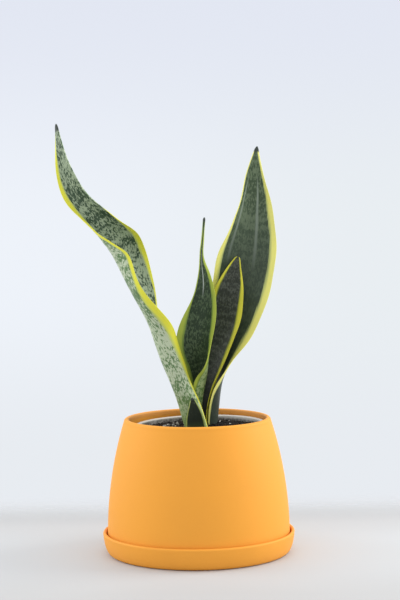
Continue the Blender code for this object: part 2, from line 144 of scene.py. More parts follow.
# Width of the yellow margin in millimetres, at shares of the leaf's length, on the left margin
# (across -1) and on the right margin (across +1).
LEAF_MARGINS = {
    "leaf_left_tall": (
        (
            (0.0, 0.8), (0.12, 1.6), (0.20, 4.6), (0.30, 6.8), (0.42, 6.8), (0.50, 3.8),
            (0.56, 2.6), (0.66, 2.6),
            (0.70, 4.6), (0.82, 4.6), (0.92, 2.2), (1.0, 0.1),
        ),
        (
            (0.0, 2.5), (0.30, 1.4), (0.45, 1.6), (0.52, 3.4), (0.58, 5.4), (0.65, 5.0),
            (0.71, 2.2), (0.76, 0.1), (1.0, 0.1),
        ),
    ),
    "leaf_right_broad": (
        (
            (0.0, 2.0), (0.30, 4.0), (0.60, 5.0), (0.70, 4.6),
            (0.80, 1.6), (0.90, 0.9), (0.97, 0.6), (1.0, 0.3),
        ),
        (
            (0.0, 1.2), (0.20, 2.0), (0.30, 6.0), (0.42, 8.5),
            (0.60, 6.5), (0.80, 5.5), (0.93, 2.5), (1.0, 0.3),
        ),
    ),
    "leaf_centre": (
        (
            (0.0, 1.5), (0.22, 3.5), (0.32, 6.0), (0.46, 6.5),
            (0.52, 3.5), (0.57, 1.0), (0.75, 0.5), (1.0, 0.2),
        ),
        (
            (0.0, 1.5), (0.20, 3.0), (0.35, 5.0), (0.45, 6.4),
            (0.58, 5.4), (0.68, 2.4), (0.80, 1.0), (1.0, 0.2),
        ),
    ),
    "leaf_centre_right": (
        ((0.0, 1.2), (0.40, 2.6), (0.70, 4.0), (0.86, 3.0), (0.95, 1.4), (1.0, 0.8)),
        (
            (0.0, 1.5), (0.20, 4.0), (0.32, 6.5), (0.50, 7.5),
            (0.70, 6.0), (0.84, 2.4), (0.94, 1.4), (1.0, 0.8),
        ),
    ),
    "leaf_front_sprout": (
        ((0.0, 0.8), (0.8, 0.8), (1.0, 0.2)),
        ((0.0, 2.0), (0.5, 1.6), (1.0, 0.3)),
    ),
}

# ----------------------------------------
# Meshes
# ----------------------------------------


def unit(vectors):
    """Each vector divided by its own length."""
    return vectors / np.linalg.norm(vectors, axis=-1, keepdims=True)


def put_in_scene(name, points, faces, fields=None, smooth=True):
    """An object at the origin with the points and faces, turned to face outwards.

    The sum of the tetrahedra from the origin to the faces is the volume; if it is negative, every
    face is reversed. Each field is a number per point, kept as an attribute of that name.
    """
    corners = [points[face[:, :3]] for face in faces]
    corners += [points[face[:, [0, 2, 3]]] for face in faces if face.shape[1] == 4]
    volume = sum(np.einsum("ij,ij->", c[:, 0], np.cross(c[:, 1], c[:, 2])) for c in corners)
    if volume < 0:
        faces = [face[:, ::-1] for face in faces]
    mesh = bpy.data.meshes.new(name)
    mesh.from_pydata(points.tolist(), [], [row for face in faces for row in face.tolist()])
    for field, values in (fields or {}).items():
        attribute = mesh.attributes.new(field, "FLOAT", "POINT")
        attribute.data.foreach_set("value", np.ascontiguousarray(values, dtype=np.float32))
    if smooth:
        mesh.shade_smooth()
    obj = bpy.data.objects.new(name, mesh)
    bpy.context.scene.collection.objects.link(obj)
    return obj


def ring_faces(rows, columns, joined=False):
    """Quads between neighbouring rings of a grid; with joined, the last ring meets the first."""
    index = np.arange(rows * columns).reshape(rows, columns)
    low = index if joined else index[:-1]
    high = np.roll(index, -1, axis=0) if joined else index[1:]
    return np.stack(
        [low, np.roll(low, -1, axis=1), np.roll(high, -1, axis=1), high], axis=-1
    ).reshape(-1, 4)


def fan_faces(ring, middle):
    """Triangles from a ring of point numbers to one middle point."""
    return np.stack([np.roll(ring, -1), ring, np.full(len(ring), middle)], axis=-1)


def turned_skin(name, profile, steps):
    """A surface of revolution: radius and height along a profile, times the angle round +Z.

    A profile that starts and ends on the axis gets a point at each pole; any other profile is a
    closed outline, and its last ring meets its first.
    """
    profile = np.asarray(profile, dtype=float)
    poles = profile[0, 0] == 0.0
    rings = profile[1:-1] if poles else profile
    angle = 2 * np.pi * np.arange(steps) / steps
    grid = np.stack(
        [
            rings[:, :1] * np.cos(angle),
            rings[:, :1] * np.sin(angle),
            np.broadcast_to(rings[:, 1:], (len(rings), steps)),
        ],
        axis=-1,
    )
    points = grid.reshape(-1, 3)
    faces = [ring_faces(len(rings), steps, joined=not poles)]
    if poles:
        count = len(points)
        ends = [(0.0, 0.0, profile[0, 1]), (0.0, 0.0, profile[-1, 1])]
        points = np.concatenate([points, ends])
        ring = np.arange(steps)
        faces.append(fan_faces(ring, count))
        faces.append(fan_faces(ring + count - steps, count + 1)[:, ::-1])
    return put_in_scene(name, points, faces)


def arc(centre, across, up, start, end, count=10):
    """Points of an elliptical arc about centre, with half axes across and up, angles in degrees."""
    angle = np.radians(np.linspace(start, end, count + 1))
    return np.stack([centre[0] + across * np.cos(angle), centre[1] + up * np.sin(angle)], axis=1)


def straight(radii, heights):
    """Points of a profile at radii and heights; one of the two may be a single number."""
    return np.stack(np.broadcast_arrays(np.asarray(radii, dtype=float), heights), axis=1)


# ----------------------------------------
# Ceramic pot and saucer
# ----------------------------------------


def pot_side_radius(height):
    """Upright above the rounded foot, then one long arc that ends at the mouth."""
    rise = POT_HEIGHT - POT_FOOT_ROUND_HEIGHT
    inset = POT_RADIUS - POT_MOUTH_RADIUS
    arc_radius = (rise**2 + inset**2) / (2 * inset)
    above = np.maximum(height - POT_FOOT_ROUND_HEIGHT, 0.0)
    return POT_RADIUS - arc_radius + np.sqrt(arc_radius**2 - above**2)


def pot_profile():
    """A closed outline: drain hole, floor, inner wall, rounded lip, outer side, rounded foot."""
    lip_z = POT_HEIGHT - POT_LIP_OUTER_ROUND
    lip_r = pot_side_radius(lip_z)
    inner_lip_z = POT_HEIGHT - POT_LIP_INNER_ROUND
    inner_bottom_z = 2 * POT_FLOOR
    inner_bottom_r = pot_side_radius(inner_bottom_z) - POT_WALL
    wall = np.linspace(inner_bottom_z, inner_lip_z, 40)[1:-1]
    side = np.linspace(lip_z, POT_FOOT_ROUND_HEIGHT, 70)[1:-1]
    hole_round = 0.0012
    inner_round = POT_LIP_INNER_ROUND
    foot_width = POT_RADIUS - POT_FOOT_RADIUS
    parts = [
        arc((POT_DRAIN_RADIUS + hole_round, POT_FLOOR - hole_round), hole_round, hole_round, 180, 90, 4),
        straight(np.linspace(POT_DRAIN_RADIUS + 0.004, inner_bottom_r - POT_FLOOR - 0.003, 8), POT_FLOOR),
        arc((inner_bottom_r - POT_FLOOR, inner_bottom_z), POT_FLOOR, POT_FLOOR, -90, 0, 8),
        straight(pot_side_radius(wall) - POT_WALL, wall),
        arc((lip_r - POT_WALL + inner_round, inner_lip_z), inner_round, inner_round, 180, 90, 8),
        arc((lip_r - POT_LIP_OUTER_ROUND, lip_z), POT_LIP_OUTER_ROUND, POT_LIP_OUTER_ROUND, 90, 0, 10),
        straight(pot_side_radius(side), side),
        arc((POT_FOOT_RADIUS, POT_FOOT_ROUND_HEIGHT), foot_width, POT_FOOT_ROUND_HEIGHT, 0, -90, 14),
        straight(np.linspace(POT_FOOT_RADIUS - 0.004, POT_DRAIN_RADIUS + 0.004, 8), 0.0),
        arc((POT_DRAIN_RADIUS + hole_round, hole_round), hole_round, hole_round, -90, -180, 4),
    ]
    profile = np.concatenate(parts)
    profile[:, 1] += POT_FOOT_Z
    return profile


def saucer_side_radius(height):
    """The outer side is a quarter ellipse that starts flat at the foot."""
    angle = np.arccos(1 - height / SAUCER_SIDE_CURVE_HEIGHT)
    return SAUCER_RADIUS - SAUCER_FOOT_INSET * (1 - np.sin(angle))


def saucer_profile():
    """From the middle of the floor, over the rounded rim, down the side to the foot's middle."""
    lip_z = SAUCER_HEIGHT - SAUCER_WALL / 2
    lip_r = saucer_side_radius(lip_z) - SAUCER_WALL / 2
    inner_z = SAUCER_FLOOR + SAUCER_INNER_ROUND
    inner_r = saucer_side_radius(inner_z) - SAUCER_WALL
    wall = np.linspace(inner_z, lip_z, 14)[1:-1]
    side = lip_z * np.linspace(1, 0, 34)[1:] ** 2
    floor_r = np.linspace(0, inner_r - SAUCER_INNER_ROUND, 14)[:-1]
    foot_r = np.linspace(saucer_side_radius(0.0), 0, 16)[1:]
    return np.concatenate(
        [
            straight(floor_r, SAUCER_FLOOR),
            arc((inner_r - SAUCER_INNER_ROUND, inner_z), SAUCER_INNER_ROUND, SAUCER_INNER_ROUND, -90, 0, 8),
            straight(saucer_side_radius(wall) - SAUCER_WALL, wall),
            arc((lip_r, lip_z), SAUCER_WALL / 2, SAUCER_WALL / 2, 180, 0, 14),
            straight(saucer_side_radius(side), side),
            straight(foot_r, 0.0),
        ]
    )


# ----------------------------------------
# Soil and perlite
# ----------------------------------------


def into_grow_pot(points):
    """Points of the leaning grow pot's own frame, turned about Y and moved to the CAD frame."""
    cos, sin = math.cos(GROW_POT_LEAN), math.sin(GROW_POT_LEAN)
    x, y, z = points[..., 0], points[..., 1], points[..., 2]
    return np.stack([x * cos - z * sin + GROW_POT_SHIFT, y, x * sin + z * cos + GROW_POT_FOOT_Z], axis=-1)


def grow_pot_inner_radius(height):
    """Inside radius of the tapered grow pot at a height above its foot."""
    top = GROW_POT_HEIGHT - GROW_POT_RIM_DEPTH
    taper = (GROW_POT_BODY_RADIUS - GROW_POT_BASE_RADIUS) / top
    return GROW_POT_BASE_RADIUS + taper * np.minimum(height, top) - GROW_POT_WALL


def ripples(x, y, seed, count, shortest, longest):
    """Sum of plane waves in random directions, with wavelengths from shortest to longest, about 1 high."""
    draw = np.random.default_rng(seed)
    total = 0.0
    for _ in range(count):
        length = shortest * (longest / shortest) ** draw.uniform()
        turn = draw.uniform(0, 2 * np.pi)
        phase = draw.uniform(0, 2 * np.pi)
        weight = (length / longest) ** 0.5
        total = total + weight * np.sin(
            2 * np.pi * (x * np.cos(turn) + y * np.sin(turn)) / length + phase
        )
    return total / math.sqrt(count / 2)


def soil_height(x, y):
    """Top of the soil above its mean level: one heap and small lumps that fade out at the wall."""
    rim = grow_pot_inner_radius(SOIL_TOP)
    fade = np.maximum(0.0, 1 - (np.hypot(x, y) / rim) ** 4)
    from_heap = np.hypot(x - SOIL_HEAP_CENTRE[0], y - SOIL_HEAP_CENTRE[1])
    heap = SOIL_HEAP_HEIGHT * np.exp(-((from_heap / SOIL_HEAP_SPREAD) ** 2))
    lumps = np.sin(260 * x + 1.3) * np.sin(240 * y + 0.4) + np.sin(330 * x - 300 * y)
    return fade * (heap + SOIL_LUMP_HEIGHT * lumps)


def soil_skin():
    """A tapered plug; its top is a disc of rings lifted by the soil height and by fine crumbs.

    The crumbs are ripples one to five millimetres long, raised to round tops and sharp valleys.
    """
    bottom = GROW_POT_WALL + 0.0003
    bottom_radius = grow_pot_inner_radius(bottom) - 0.0006
    top_radius = grow_pot_inner_radius(SOIL_TOP) - 0.0002
    steps = 420
    angle = 2 * np.pi * np.arange(steps) / steps
    shares = np.linspace(1.0, 0.0, 130)[:-1]
    radius = np.concatenate([[bottom_radius * 0.5, bottom_radius], top_radius * shares])
    height = np.concatenate([[bottom, bottom], np.full(len(shares), SOIL_TOP)])
    grid = np.stack(
        [
            radius[:, None] * np.cos(angle),
            radius[:, None] * np.sin(angle),
            np.broadcast_to(height[:, None], (len(radius), steps)),
        ],
        axis=-1,
    ).copy()
    x, y = grid[2:, :, 0], grid[2:, :, 1]
    crumbs = 1 - np.abs(ripples(x, y, 5, 26, 0.0016, 0.0060))
    edge = np.clip((1 - shares[:, None]) / 0.03, 0, 1)
    grid[2:, :, 2] += soil_height(x, y) + 0.00045 * edge * crumbs
    points = into_grow_pot(grid).reshape(-1, 3)
    count = len(points)
    low = into_grow_pot(np.array([0.0, 0.0, bottom]))
    high = grid[-1].mean(axis=0)
    points = np.concatenate([points, [low, into_grow_pot(high)]])
    ring = np.arange(steps)
    faces = [
        ring_faces(len(radius), steps),
        fan_faces(ring, count),
        fan_faces(ring + count - steps, count + 1)[:, ::-1],
    ]
    return put_in_scene("soil_bed", points, faces)


GOLDEN = (1 + math.sqrt(5)) / 2
LUMP_POINTS = unit(
    np.array(
        [(0, a, b) for a in (-1, 1) for b in (-GOLDEN, GOLDEN)]
        + [(a, b, 0) for a in (-1, 1) for b in (-GOLDEN, GOLDEN)]
        + [(b, 0, a) for a in (-1, 1) for b in (-GOLDEN, GOLDEN)],
        dtype=float,
    )
)


def lump_faces():
    """The 20 faces of the icosahedron: each set of three points that are one edge apart."""
    gap = np.linalg.norm(LUMP_POINTS[:, None] - LUMP_POINTS[None], axis=-1)
    near = (gap > 0.1) & (gap < 1.2)
    faces = []
    for a in range(12):
        for b in range(a + 1, 12):
            for c in range(b + 1, 12):
                if near[a, b] and near[b, c] and near[a, c]:
                    pa, pb, pc = LUMP_POINTS[[a, b, c]]
                    out = np.dot(np.cross(pb - pa, pc - pa), pa + pb + pc) > 0
                    faces.append((a, b, c) if out else (a, c, b))
    return np.array(faces)


def scattered_lumps(name, centres, sizes, flatness, roughness, seed):
    """One mesh of many small lumps, each a 20-sided ball with its points moved in and out.

    Every lump is stretched differently along X, Y and Z and turned about Z.
    """
    draw = np.random.default_rng(seed)
    count = len(centres)
    shape = LUMP_POINTS[None] * (1 + draw.uniform(-roughness, roughness, (count, 12, 1)))
    shape = shape * draw.uniform(0.7, 1.3, (count, 1, 3)) * np.array([1.0, 1.0, flatness])
    turn = draw.uniform(0, 2 * np.pi, count)
    cos, sin = np.cos(turn)[:, None], np.sin(turn)[:, None]
    x = shape[..., 0] * cos - shape[..., 1] * sin
    y = shape[..., 0] * sin + shape[..., 1] * cos
    shape = np.stack([x, y, shape[..., 2]], axis=-1)
    points = (centres[:, None] + sizes[:, None, None] * shape).reshape(-1, 3)
    faces = (lump_faces()[None] + 12 * np.arange(count)[:, None, None]).reshape(-1, 3)
    tone = np.repeat(draw.uniform(0, 1, count), 12)
    return put_in_scene(name, points, [faces], {"tone": tone}, smooth=False)


def on_soil(radius_share, angle, lift):
    """Points on the soil at shares of its radius and at angles, lifted above its surface."""
    radius = grow_pot_inner_radius(SOIL_TOP) * radius_share
    x, y = radius * np.cos(angle), radius * np.sin(angle)
    return into_grow_pot(np.stack([x, y, SOIL_TOP + soil_height(x, y) + lift], axis=-1))


def crumb_skin():
    """Crumbs of soil spread evenly over the disc, many small and few large."""
    draw = np.random.default_rng(11)
    count = 2600
    sizes = 0.00045 + 0.0012 * draw.uniform(0, 1, count) ** 3
    centres = on_soil(
        0.965 * np.sqrt(draw.uniform(0, 1, count)), draw.uniform(0, 2 * np.pi, count), 0.25 * sizes
    )
    return scattered_lumps("soil_crumbs", centres, sizes, 0.75, 0.3, 12)


def perlite_fleck_skin():
    """Small white flecks, mostly on the left of the soil and behind the leaves."""
    draw = np.random.default_rng(21)
    count = 90
    sizes = draw.uniform(0.0004, 0.0010, count)
    angle = np.radians(draw.normal(165, 75, count))
    centres = on_soil(draw.uniform(0.35, 0.94, count), angle, 0.4 * sizes)
    return scattered_lumps("perlite_flecks", centres, sizes, 0.85, 0.25, 22)


def grain_skin(node):
    """A pitted grain of perlite in its CAD node's place: a ball times one plus a sum of ripples."""
    low, high = (np.array(corner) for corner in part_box(node))
    centre, half = (low + high) / 2, (high - low) / 2
    seed = int(node.rsplit("_", 1)[1])
    rows, steps = 24, 36
    polar = np.pi * np.arange(1, rows) / rows
    turn = 2 * np.pi * np.arange(steps) / steps
    ball = np.stack(
        [
            np.sin(polar)[:, None] * np.cos(turn),
            np.sin(polar)[:, None] * np.sin(turn),
            np.broadcast_to(np.cos(polar)[:, None], (rows - 1, steps)),
        ],
        axis=-1,
    ).reshape(-1, 3)
    ball = np.concatenate([ball, [(0.0, 0.0, 1.0), (0.0, 0.0, -1.0)]])
    bumps = ripples(ball[:, 0] + 0.7 * ball[:, 2], ball[:, 1] - 0.6 * ball[:, 2], seed, 12, 0.5, 2.2)
    points = centre + half * ball * (0.92 + 0.08 * bumps[:, None])
    count = len(points) - 2
    ring = np.arange(steps)
    faces = [
        ring_faces(rows - 1, steps),
        fan_faces(ring, count),
        fan_faces(ring + count - steps, count + 1)[:, ::-1],
    ]
    return put_in_scene(node.replace("grain", "lump"), points, faces)


# ----------------------------------------
# Leaves
# ----------------------------------------


def smooth_through(stations, shares):
    """Natural cubic spline through evenly spaced stations: its values and slopes at the shares."""
    count = len(stations)
    system = np.zeros((count, count))
    system[0, 0] = system[-1, -1] = 1.0
    bend = np.zeros_like(stations)
    for i in range(1, count - 1):
        system[i, i - 1 : i + 2] = (1.0, 4.0, 1.0)
        bend[i] = 6 * (stations[i + 1] - 2 * stations[i] + stations[i - 1])
    curve = np.linalg.solve(system, bend)
    along = shares * (count - 1)
    left = np.minimum(along.astype(int), count - 2)
    ahead = (along - left)[:, None]
    behind = 1 - ahead
    values = behind * stations[left] + ahead * stations[left + 1]
    values += ((behind**3 - behind) * curve[left] + (ahead**3 - ahead) * curve[left + 1]) / 6
    slopes = stations[left + 1] - stations[left]
    slopes += ((1 - 3 * behind**2) * curve[left] + (3 * ahead**2 - 1) * curve[left + 1]) / 6
    return values, slopes


def rolled_blade(stations, along, across, narrow):
    """Middle surface of a leaf: at each share of its length, an arc rolled to its inner side.

    Gives the points, the direction of growth, the surface's normal towards the inner side, and
    the half width.
    """
    values, slopes = smooth_through(stations, along)
    half_width = values[:, 3] * narrow
    heading = values[:, 4]
    roll = values[:, 5]
    forward = unit(slopes[:, :3])
    level = np.stack([np.cos(heading), np.sin(heading), 0 * heading], axis=1)
    side = unit(level - (level * forward).sum(axis=1)[:, None] * forward)
    inward = np.cross(side, forward)
    angle = roll * across
    out = half_width * np.sin(angle) / roll
    lift = half_width * (1 - np.cos(angle)) / roll
    points = values[:, :3] + out[:, None] * side + lift[:, None] * inward
    normal = np.cos(angle)[:, None] * inward - np.sin(angle)[:, None] * side
    return points, forward, normal, half_width


def leaf_skin(name, rows=300, around=64):
    """A closed leaf: both faces of the rolled middle surface, half the thickness to each side.

    Going round a section, the share across is minus the cosine of an angle and the offset follows
    its sine, so the margins are round. The thickness falls by 45% of the square of the share
    across. The tip closes along a quarter ellipse. The foot is level. The whole blade has shallow
    waves, deepest at the margins, and fine lengthwise ribs.
    """
    stations = np.array(LEAF_STATIONS[name], dtype=float)
    stations[:, :4] *= 0.001
    stations[:, 4:] = np.radians(stations[:, 4:])
    midrib = smooth_through(stations, np.linspace(0, 1, 400))[0][:, :3]
    length = np.linalg.norm(np.diff(midrib, axis=0), axis=1).sum()
    tip = min(LEAF_TIP_LENGTH / length, 0.2)
    rounding = tip * np.sin(np.linspace(0, 0.49 * np.pi, 13))
    shares = np.concatenate([np.linspace(0, 1 - tip, rows - 12)[:-1], 1 - tip + rounding])
    narrow = np.sqrt(np.clip(1 - np.clip((shares - 1 + tip) / tip, 0, 1) ** 2, 0, 1))
    turn = 2 * np.pi * np.arange(around) / around
    along = np.repeat(shares, around)
    across = np.tile(-np.cos(turn), len(shares))
    sine = np.tile(np.sin(turn), len(shares))
    narrow = np.repeat(narrow, around)

    middle, forward, normal, half_width = rolled_blade(stations, along, across, narrow)
    foot, foot_forward, _, _ = rolled_blade(stations, 0 * along, across, 1.0)
    fade = np.clip(1 - along / LEAF_LEVEL_SHARE, 0, 1) ** 2
    middle = middle + (fade * -foot[:, 2] / foot_forward[:, 2])[:, None] * foot_forward

    body = LEAF_THICKNESS / 2 * (1 - LEAF_MARGIN_THINNING * across**2)
    body = body * sine * np.sqrt((1 + across**2) * (1 + across**4)) * narrow
    seed = 30 + len(name)
    metres = along * length
    free = np.clip(along / 0.25, 0, 1) * np.clip((1 - along) / 0.1, 0, 1)
    waves = free * (
        0.00030 * ripples(metres, across * half_width, seed, 7, 0.030, 0.080)
        + 0.00045 * across**6 * np.sin(2 * np.pi * metres / 0.034 + seed + 2 * np.sign(across))
    )
    ribs = 0.00005 * np.sin(2 * np.pi * across * half_width / 0.0023) * np.sign(sine) * (1 - across**4)
    points = middle + (body + waves + ribs * free)[:, None] * normal
    points[:, 2] += LEAF_FOOT_Z

    widths = np.where(
        across < 0,
        np.interp(along, *zip(*LEAF_MARGINS[name][0])),
        np.interp(along, *zip(*LEAF_MARGINS[name][1])),
    )
    edge = half_width * (1 - np.abs(across))
    fields = {
        "along": metres,
        "across": across * half_width,
        "to_tip": length - metres,
        "margin": np.minimum((edge + 0.0002) / (0.001 * widths), 4.0),
        "share": across,
        "inner": (sine > 0).astype(float),
    }
    count = len(points)
    ends = points[-around:].mean(axis=0) + forward[-1] * (1 - shares[-1]) * length
    points = np.concatenate([points, [ends]])
    fields = {key: np.append(value, value[-around:].mean()) for key, value in fields.items()}
    ring = np.arange(around)
    half = around // 2
    left = np.arange(half)
    right = (around - left) % around
    cap = np.stack([left, left + 1, right - 1, right], axis=-1)[1:-1]
    cap[:, 2] %= around
    ends_of_cap = np.array([[0, 1, around - 1], [half - 1, half, half + 1]])
    faces = [
        ring_faces(len(shares), around),
        cap[:, ::-1],
        ends_of_cap[:, ::-1],
        fan_faces(ring + count - around, count)[:, ::-1],
    ]
    return put_in_scene(name.replace("leaf", "blade"), points, faces, fields)


# ----------------------------------------
# Materials
# ----------------------------------------


def node(tree, kind, inputs=None, **settings):
    """A shader node; each input is a value or another node's output socket."""
    made = tree.nodes.new("ShaderNode" + kind)
    for key, value in settings.items():
        setattr(made, key, value)
    for key, value in (inputs or {}).items():
        socket = made.inputs[key]
        if isinstance(value, bpy.types.NodeSocket):
            tree.links.new(value, socket)
        elif isinstance(value, tuple) and len(value) == 3 and socket.type == "RGBA":
            socket.default_value = (*value, 1.0)
        else:
            socket.default_value = value
    return made


def maths(tree, operation, a, b=0.0, c=0.0):
    return node(tree, "Math", {0: a, 1: b, 2: c}, operation=operation).outputs[0]


def blend_colours(tree, share, a, b, blend="MIX"):
    made = node(tree, "Mix", data_type="RGBA", blend_type=blend)
    for socket, value in ((0, share), (6, a), (7, b)):
        if isinstance(value, bpy.types.NodeSocket):
            tree.links.new(value, made.inputs[socket])
        elif isinstance(value, tuple):
            made.inputs[socket].default_value = (*value[:3], 1.0)
        else:
            made.inputs[socket].default_value = value
    return made.outputs[2]


def grey(tree, tone):
    """A colour with the same value in red, green and blue."""
    return node(tree, "CombineColor", {0: tone, 1: tone, 2: tone}).outputs[0]


def swing(tree, pattern, amount):
    """A pattern between 0 and 1 made to go from minus half the amount to plus half of it."""
    return maths(tree, "MULTIPLY", maths(tree, "SUBTRACT", pattern, 0.5), amount)


def smooth_step(tree, value, low, high):
    """0 below low, 1 above high, smooth between; low may be the larger of the two."""
    ends = {"Value": value, "From Min": low, "From Max": high}
    return node(tree, "MapRange", ends, interpolation_type="SMOOTHSTEP").outputs[0]


def noise(tree, vector, scale, detail=3.0, roughness=0.55):
    inputs = {"Vector": vector, "Scale": scale, "Detail": detail, "Roughness": roughness}
    return node(tree, "TexNoise", inputs).outputs[0]


def scaled(tree, vector, factors):
    return node(tree, "VectorMath", {0: vector, 1: factors}, operation="MULTIPLY").outputs[0]


def group(name, inputs, outputs):
    """An empty node group with named sockets, and its input and output nodes."""
    tree = bpy.data.node_groups.new(name, "ShaderNodeTree")
    for label, kind, value in inputs:
        socket = tree.interface.new_socket(label, in_out="INPUT", socket_type="NodeSocket" + kind)
        socket.default_value = (*value, 1.0) if kind == "Color" else value
    for label, kind in outputs:
        tree.interface.new_socket(label, in_out="OUTPUT", socket_type="NodeSocket" + kind)
    return tree, tree.nodes.new("NodeGroupInput"), tree.nodes.new("NodeGroupOutput")


def leaf_pattern_group():
    """Cross bands, mottling, streaks, two pale lines of painted sheen, a foot tint that is partly painted
    shade, yellow margins, a dark horn.

    It reads the blade's own attributes: metres along and across, the share across, the distance
    to the tip, the distance to the margin as a share of the yellow's width, and which face it is.
    """
    tree, given, made = group(
        "leaf_pattern",
        [
            ("Inner Dark", "Color", (0.02, 0.04, 0.02)),
            ("Inner Light", "Color", (0.10, 0.16, 0.09)),
            ("Outer Dark", "Color", (0.03, 0.06, 0.03)),
            ("Outer Light", "Color", (0.20, 0.28, 0.18)),
            ("Margin", "Color", (0.55, 0.52, 0.10)),
            ("Margin Green", "Color", (0.25, 0.32, 0.08)),
            ("Foot Tint And Shade", "Color", (0.20, 0.26, 0.08)),
            ("Foot Height", "Float", 0.03),
            ("Foot Full", "Float", 0.012),
            ("Band Amount", "Float", 1.0),
            ("Bands per Metre", "Float", 125.0),
            ("Speckle Amount", "Float", 1.0),
            ("Inner Cover", "Float", 0.5),
            ("Outer Cover", "Float", 0.5),
            ("Streak Amount", "Float", 0.5),
            ("Sheen Line Colour", "Color", (0.2, 0.22, 0.2)),
            ("Sheen Line Amount", "Float", 0.0),
            ("Left Sheen Line", "Float", -0.6),
            ("Right Sheen Line", "Float", 0.28),
            ("Sheen Line Start", "Float", 0.1),
            ("Sheen Line End", "Float", 0.2),
            ("Horn Length", "Float", 0.006),
            ("Seed", "Float", 0.0),
        ],
        [("Colour", "Color"), ("Roughness", "Float"), ("Height", "Float")],
    )
    value = given.outputs

    def attribute(name):
        return node(tree, "Attribute", attribute_name=name).outputs["Fac"]

    along, across, margin = attribute("along"), attribute("across"), attribute("margin")
    inner, to_tip, share = attribute("inner"), attribute("to_tip"), attribute("share")
    place = node(tree, "CombineXYZ", {0: across, 1: along, 2: value["Seed"]}).outputs[0]

    wide = noise(tree, scaled(tree, place, (70, 28, 1)), 1.0, 2.0)
    fine = noise(tree, scaled(tree, place, (420, 60, 1)), 1.0, 2.0)
    shift = maths(tree, "ADD", maths(tree, "MULTIPLY", wide, 0.016), maths(tree, "MULTIPLY", fine, 0.007))
    wavy = maths(tree, "MULTIPLY", maths(tree, "ADD", along, shift), value["Bands per Metre"])
    banded = node(tree, "CombineXYZ", {0: maths(tree, "MULTIPLY", across, 26.0), 1: wavy, 2: value["Seed"]})
    bands = noise(tree, banded.outputs[0], 1.0, 2.0, 0.6)
    speckle = noise(tree, scaled(tree, place, (780, 360, 1)), 1.0, 3.0, 0.7)
    streak = noise(tree, scaled(tree, place, (2400, 22, 1)), 1.0, 2.0, 0.6)

    bands_part = swing(tree, bands, value["Band Amount"])
    speckle_part = swing(tree, speckle, value["Speckle Amount"])
    both = maths(tree, "ADD", maths(tree, "ADD", bands_part, speckle_part), 0.5)
    cover = node(tree, "Mix", {0: inner, 2: value["Outer Cover"], 3: value["Inner Cover"]}).outputs[0]
    darkness = smooth_step(tree, maths(tree, "ADD", both, maths(tree, "SUBTRACT", cover, 0.5)), 0.43, 0.57)
    inner_colour = blend_colours(tree, darkness, value["Inner Light"], value["Inner Dark"])
    outer_colour = blend_colours(tree, darkness, value["Outer Light"], value["Outer Dark"])
    body = blend_colours(tree, inner, outer_colour, inner_colour)
    tone = maths(tree, "ADD", swing(tree, streak, value["Streak Amount"]), 1.0)
    body = blend_colours(tree, 1.0, body, grey(tree, tone), "MULTIPLY")
    # Painted sheen: pale lines along the inner face at given shares across, between a start and an end,
    # stand in for glossy highlights.
    painted_sheen = None
    for name in ("Left Sheen Line", "Right Sheen Line"):
        off = maths(tree, "ABSOLUTE", maths(tree, "SUBTRACT", share, value[name]))
        off = maths(tree, "MULTIPLY_ADD", fine, 0.04, off)
        mark = smooth_step(tree, off, 0.110, 0.030)
        painted_sheen = mark if painted_sheen is None else maths(tree, "MAXIMUM", painted_sheen, mark)
    after = smooth_step(tree, maths(tree, "SUBTRACT", along, value["Sheen Line Start"]), 0.0, 0.018)
    before = smooth_step(tree, maths(tree, "SUBTRACT", value["Sheen Line End"], along), 0.0, 0.018)
    stretch = maths(tree, "MULTIPLY", after, before)
    painted_sheen = maths(tree, "MULTIPLY", maths(tree, "MULTIPLY", painted_sheen, inner), stretch)
    painted_sheen = maths(tree, "MULTIPLY", painted_sheen, value["Sheen Line Amount"])
    body = blend_colours(tree, painted_sheen, body, value["Sheen Line Colour"])
    # Towards the foot, the colour blends to each leaf's foot colour. This is partly the leaf's own base
    # tint and partly painted shade low down by the pot's mouth.
    low = smooth_step(tree, along, value["Foot Height"], value["Foot Full"])
    body = blend_colours(tree, maths(tree, "MULTIPLY", low, 0.75), body, value["Foot Tint And Shade"])

    ragged = maths(tree, "MULTIPLY_ADD", maths(tree, "SUBTRACT", streak, 0.5), 0.55, margin)
    ragged = maths(tree, "MULTIPLY_ADD", maths(tree, "SUBTRACT", fine, 0.5), 0.25, ragged)
    greener = smooth_step(tree, ragged, 0.55, 1.0)
    yellow = blend_colours(tree, greener, value["Margin"], value["Margin Green"])
    colour = blend_colours(tree, smooth_step(tree, ragged, 1.12, 0.93), body, yellow)
    horn = smooth_step(tree, maths(tree, "DIVIDE", to_tip, value["Horn Length"]), 1.0, 0.6)
    colour = blend_colours(tree, horn, colour, (0.040, 0.050, 0.042))

    tree.links.new(colour, made.inputs["Colour"])
    tree.links.new(maths(tree, "MULTIPLY_ADD", speckle, 0.18, 0.34), made.inputs["Roughness"])
    height = maths(tree, "ADD", maths(tree, "MULTIPLY", streak, 0.7), maths(tree, "MULTIPLY", speckle, 0.5))
    tree.links.new(height, made.inputs["Height"])
    return tree


